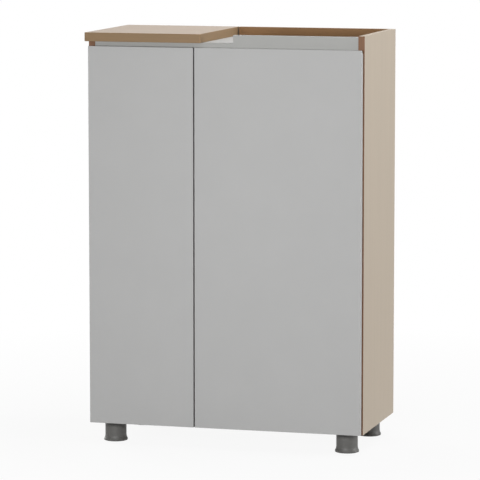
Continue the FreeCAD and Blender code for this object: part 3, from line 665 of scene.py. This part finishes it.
def axis_frame(origin, direction, spin):
    """A local frame at a point, whose upright is a direction, turned by an angle about it."""
    turn = direction.to_track_quat("Z", "Y").to_matrix().to_4x4()
    return Matrix.Translation(origin) @ turn @ Matrix.Rotation(spin, 4, "Z")


def screw_places(node):
    """Seat, head direction, head radius, head height and shank length of each screw solid."""
    places = []
    for corners in islands(node):
        low, high = span(corners)
        size = high - low
        axis = longest_axis(size)
        long = "XYZ".index(axis)
        middle = (low + high) / 2
        wide = max(size[i] for i in range(3) if i != long) / 2
        rim = [c[long] for c in corners if (c - middle).cross(AXES[axis]).length > wide * HEAD_RIM]
        seat = min(rim, key=lambda level: abs(level - middle[long]))
        outward = 1 if seat > middle[long] else -1
        origin = middle.copy()
        origin[long] = seat
        top, tip = (high[long], low[long]) if outward > 0 else (low[long], high[long])
        places.append((origin, AXES[axis] * outward, wide, abs(top - seat), abs(tip - seat)))
    return places


class CABINET_OT_boards(bpy.types.Operator):
    """Wood-look laminate on the carcass boards, shelves and slab, and fibre on the back panel"""

    bl_idname = "cabinet.boards"
    bl_label = "Dress the Boards"

    def execute(self, context):
        colours = context.scene.cabinet_looks.colours
        sizes = context.scene.cabinet_looks.sizes
        core = chipboard("board_core", colours.core)
        upright = wood_print("board_print_Z", colours.board, "Z", sizes, BOARD_CONTRAST)
        level = wood_print("board_print_X", colours.board, "X", sizes, BOARD_CONTRAST)
        slab = wood_print("slab_print", colours.slab, "X", sizes, BOARD_CONTRAST)
        for node in nodes_in_slot("beige_laminate"):
            low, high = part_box(node)
            board = upright if longest_axis(high - low) == "Z" else level
            dress(node, slab if node == "worktop_slab" else board)
            bare_edges(node, core)
            round_edges(node, sizes.board_arris)
        fibre = pressed_fibre("back_fibre", colours.back)
        for node in nodes_in_slot("hardboard"):
            dress(node, fibre)
        return {"FINISHED"}


class CABINET_OT_edge_bands(bpy.types.Operator):
    """Brown wood-look bands on the carcass, shelves and slab, and the brown back rail of the tray"""

    bl_idname = "cabinet.edge_bands"
    bl_label = "Dress the Edge Bands"

    def execute(self, context):
        colours = context.scene.cabinet_looks.colours
        sizes = context.scene.cabinet_looks.sizes
        for node in ("carcass_edge_bands", "shelf_edge_bands"):
            prints = {}
            for axis in "XZ":
                name = f"{node}_{axis}"
                prints[axis] = wood_print(name, colours.carcass_band, axis, sizes, BAND_CONTRAST)
            make_bands(node, "carcass", nodes_in_slot("beige_laminate"), prints, sizes.band_arris)
        across = wood_print("slab_band_X", colours.slab_band, "X", sizes, BAND_CONTRAST)
        along = wood_print("slab_band_Y", colours.slab_band, "Y", sizes, BAND_CONTRAST)
        dress_by_facing("worktop_edge_bands", across, along)
        # The back rail's print carries painted light: its brown is painted lighter to make up for the
        # shade in the tray
        dress("back_rail", wood_print("back_rail_print_painted_lighter", colours.back_rail, "X", sizes, PLAIN_WOOD_CONTRAST))
        return {"FINISHED"}


class CABINET_OT_doors(bpy.types.Operator):
    """Grey laminate on both doors, their edge bands, the stepped front rail and the tray's floor"""

    bl_idname = "cabinet.doors"
    bl_label = "Dress the Doors"

    def execute(self, context):
        colours = context.scene.cabinet_looks.colours
        sizes = context.scene.cabinet_looks.sizes
        laminate = grey_laminate("door_laminate", colours.door)
        others = {
            "front_rail": grey_laminate("rail_laminate", colours.front_rail),
            # The tray's floor takes the door grey painted paler: painted light on the tray's floor
            "top_panel": grey_laminate("tray_grey_painted_lighter", colours.tray),
        }
        for node in nodes_in_slot("grey_laminate"):
            door = node.removesuffix("_edge_bands")
            if door != node:
                make_bands(node, door, [door], dict.fromkeys("XZ", laminate), sizes.band_arris)
                continue
            dress(node, others.get(node, laminate))
            round_edges(node, sizes.board_arris)
        return {"FINISHED"}


class CABINET_OT_hinges(bpy.types.Operator):
    """Nickel plating on the cup hinges, and zinc on their pins, the shelf pins and the cam bolts"""

    bl_idname = "cabinet.hinges"
    bl_label = "Dress the Hinges"

    def execute(self, context):
        colours = context.scene.cabinet_looks.colours
        nickel = plated_metal(
            "hinge_nickel", colours.nickel, smoothest=0.28, roughest=0.38, stretch=DRAWN_MARKS
        )
        for node in nodes_in_slot("hinge_steel"):
            dress(node, nickel)
        pin = plated_metal("pin_zinc", colours.screw, smoothest=0.28, roughest=0.42)
        for node in nodes_in_slot("screw_steel"):
            if node not in SCREW_NODES:
                dress(node, pin)
        return {"FINISHED"}


class CABINET_OT_fasteners(bpy.types.Operator):
    """Screws with cross recesses and threads, cam locks with drive crosses, and fluted beech dowels"""

    bl_idname = "cabinet.fasteners"
    bl_label = "Make the Fasteners"

    def execute(self, context):
        colours = context.scene.cabinet_looks.colours
        sizes = context.scene.cabinet_looks.sizes
        steel = plated_metal("screw_zinc", colours.screw, smoothest=0.25, roughest=0.4)
        for node, body in SCREW_NODES.items():
            screws = bmesh.new()
            for i, (seat, out, radius, height, length) in enumerate(screw_places(node)):
                screw_form(screws, axis_frame(seat, out, SCREW_SPIN * i), radius, height, length, sizes)
            new_piece(node, body, screws, [steel])

        cast = plated_metal("cam_cast", colours.zinc, smoothest=0.42, roughest=0.6)
        cams = bmesh.new()
        for i, corners in enumerate(islands("cam_locks")):
            low, high = span(corners)
            face = Vector(((low.x + high.x) / 2, (low.y + high.y) / 2, low.z))
            place = axis_frame(face, -AXES["Z"], CAM_SPIN * i)
            cam_form(cams, place, (high.x - low.x) / 2, high.z - low.z, sizes)
        new_piece("cam_locks", "carcass", cams, [cast])

        beech = wood_print("dowel_beech", colours.beech, "X", sizes, PLAIN_WOOD_CONTRAST)
        dowels = bmesh.new()
        for i, corners in enumerate(islands("wood_dowels")):
            low, high = span(corners)
            size = high - low
            place = axis_frame((low + high) / 2, AXES[longest_axis(size)], DOWEL_SPIN * i)
            dowel_form(dowels, place, min(size) / 2, max(size), sizes)
        new_piece("wood_dowels", "carcass", dowels, [beech])
        return {"FINISHED"}


class CABINET_OT_legs(bpy.types.Operator):
    """Grained dark plastic on the legs, and soft pads under them and behind the doors"""

    bl_idname = "cabinet.legs"
    bl_label = "Dress the Legs"

    def execute(self, context):
        colours = context.scene.cabinet_looks.colours
        plastic = moulded_plastic("leg_plastic", colours.leg, smoothest=0.42, roughest=0.6)
        for node in nodes_in_slot("grey_plastic"):
            dress(node, plastic)
        pad = moulded_plastic("soft_pad", colours.pad, smoothest=0.7, roughest=0.85)
        for node in nodes_in_slot("soft_pad"):
            dress(node, pad)
        return {"FINISHED"}


def seen_rays(finish):
    """1 for rays from the camera, mirrors and glass, so that all of them see the white ground."""
    path = finish.node("ShaderNodeLightPath")
    seen = path.outputs["Is Camera Ray"]
    for ray in ("Is Glossy Ray", "Is Transmission Ray"):
        larger = finish.node("ShaderNodeMath", {0: seen, 1: path.outputs[ray]}, operation="MAXIMUM")
        seen = larger.outputs[0]
    return seen


class WorldFinish(Finish):
    """The surrounding light, with the same short ways to add nodes."""

    def __init__(self, world):
        world.use_nodes = True
        self.tree = world.node_tree
        self.tree.nodes.clear()
        self.output = self.tree.nodes.new("ShaderNodeOutputWorld")


def make_world(scene, ambient):
    """White to the camera, an even soft light to the object."""
    world = bpy.data.worlds.new("studio_air")
    scene.world = world
    air = WorldFinish(world)
    light = air.node("ShaderNodeBackground", {"Color": WHITE, "Strength": ambient})
    shown = air.node("ShaderNodeBackground", {"Color": WHITE, "Strength": 1.0})
    blend = air.node("ShaderNodeMixShader", {0: seen_rays(air), 1: light.outputs[0], 2: shown.outputs[0]})
    air.link(blend.outputs[0], air.output.inputs["Surface"])


def make_floor(stage):
    """A round pale floor that keeps the cabinet's shadow and turns white away from it."""
    build = bmesh.new()
    bmesh.ops.create_circle(build, cap_ends=True, segments=FLOOR_SIDES, radius=stage.floor_radius)
    mesh = bpy.data.meshes.new("studio_floor")
    build.to_mesh(mesh)
    build.free()
    floor = bpy.data.objects.new("studio_floor", mesh)
    bpy.context.scene.collection.objects.link(floor)
    paint = Finish("floor_paint")
    paint.skin.inputs["Base Color"].default_value = (*stage.floor_colour, 1.0)
    paint.skin.inputs["Roughness"].default_value = FLOOR_ROUGHNESS
    coords = paint.node("ShaderNodeTexCoord")
    reach = paint.node("ShaderNodeVectorMath", {0: coords.outputs["Object"]}, operation="LENGTH")
    fade_start, fade_end = FLOOR_FADE
    fade = paint.node("ShaderNodeMapRange", {
        "Value": reach.outputs["Value"],
        "From Min": fade_start,
        "From Max": fade_end,
        "To Min": stage.floor_glow,
        "To Max": 1.0,
    })
    factors = {0: seen_rays(paint), 1: fade.outputs["Result"]}
    share = paint.node("ShaderNodeMath", factors, operation="MULTIPLY")
    white = paint.node("ShaderNodeEmission", {"Color": WHITE, "Strength": 1.0})
    layers = {0: share.outputs[0], 1: paint.skin.outputs[0], 2: white.outputs[0]}
    blend = paint.node("ShaderNodeMixShader", layers)
    paint.link(blend.outputs[0], paint.output.inputs["Surface"])
    mesh.materials.append(paint.material)


def make_lamp(name, target, power, turn, rise, distance, size):
    """A soft lamp that faces a point, some degrees to the right of the front and above the level."""
    lamp = bpy.data.lights.new(name, "AREA")
    lamp.energy = power
    lamp.shape = "RECTANGLE"
    lamp.size, lamp.size_y = size
    turn, rise = math.radians(turn), math.radians(rise)
    away = Vector((math.sin(turn) * math.cos(rise), -math.cos(turn) * math.cos(rise), math.sin(rise)))
    lamp_object = bpy.data.objects.new(name, lamp)
    lamp_object.location = target + away * distance
    lamp_object.rotation_euler = (-away).to_track_quat("-Z", "Y").to_euler()
    bpy.context.scene.collection.objects.link(lamp_object)


def make_camera(scene, stage):
    """The camera in front of the cabinet, to the right of it and above its top."""
    camera = bpy.data.cameras.new("camera")
    camera.lens = stage.lens
    camera.clip_end = CAMERA_REACH
    camera_object = bpy.data.objects.new("camera", camera)
    camera_object.location = stage.camera_place
    camera_object.rotation_euler = (math.pi / 2 - stage.camera_dip, 0.0, stage.camera_turn)
    scene.collection.objects.link(camera_object)
    scene.camera = camera_object


class CABINET_OT_stage(bpy.types.Operator):
    """Pale floor, soft lamps, white surroundings and the camera"""

    bl_idname = "cabinet.stage"
    bl_label = "Set the Stage"

    def execute(self, context):
        scene = context.scene
        stage = scene.cabinet_looks.stage
        low, high = CAD_BOX
        aim = (low + high) / 2
        make_floor(stage)
        make_world(scene, stage.ambient)
        make_lamp("front_lamp", aim, stage.front_power, turn=2.0, rise=10.3, distance=3.2, size=(1.2, 0.5))
        make_lamp("side_lamp", aim, stage.side_power, turn=100.0, rise=10.0, distance=5.0, size=(1.8, 1.8))
        make_lamp("top_lamp", aim, stage.top_power, turn=86.0, rise=64.0, distance=3.6, size=(2.2, 2.2))
        make_lamp("fill_lamp", aim, stage.fill_power, turn=232.0, rise=14.0, distance=5.0, size=(2.2, 2.2))
        make_camera(scene, stage)
        scene.view_settings.view_transform = "Standard"
        return {"FINISHED"}


STEPS = (
    CABINET_OT_boards,
    CABINET_OT_edge_bands,
    CABINET_OT_doors,
    CABINET_OT_hinges,
    CABINET_OT_fasteners,
    CABINET_OT_legs,
    CABINET_OT_stage,
)


class CABINET_PT_looks(bpy.types.Panel):
    """The cabinet's settings and steps"""

    bl_idname = "CABINET_PT_looks"
    bl_label = "Utility Cabinet"
    bl_space_type = "VIEW_3D"
    bl_region_type = "UI"
    bl_category = "Cabinet"

    def draw(self, context):
        looks = context.scene.cabinet_looks
        for group in (looks.colours, looks.sizes, looks.stage):
            box = self.layout.box()
            for key in group.__annotations__:
                box.prop(group, key)
        for step in STEPS:
            self.layout.operator(step.bl_idname)


CLASSES = (CabinetColours, CabinetSizes, CabinetStage, CabinetLooks, *STEPS, CABINET_PT_looks)


def register():
    """Make the settings, steps and panel known to Blender."""
    for cls in CLASSES:
        bpy.utils.register_class(cls)
    bpy.types.Scene.cabinet_looks = PointerProperty(type=CabinetLooks)


def unregister():
    """Take the settings, steps and panel away again."""
    del bpy.types.Scene.cabinet_looks
    for cls in reversed(CLASSES):
        bpy.utils.unregister_class(cls)


def main():
    """Run all steps in order."""
    register()
    bpy.ops.cabinet.boards()
    bpy.ops.cabinet.edge_bands()
    bpy.ops.cabinet.doors()
    bpy.ops.cabinet.hinges()
    bpy.ops.cabinet.fasteners()
    bpy.ops.cabinet.legs()
    bpy.ops.cabinet.stage()


if __name__ == "__main__":
    main()
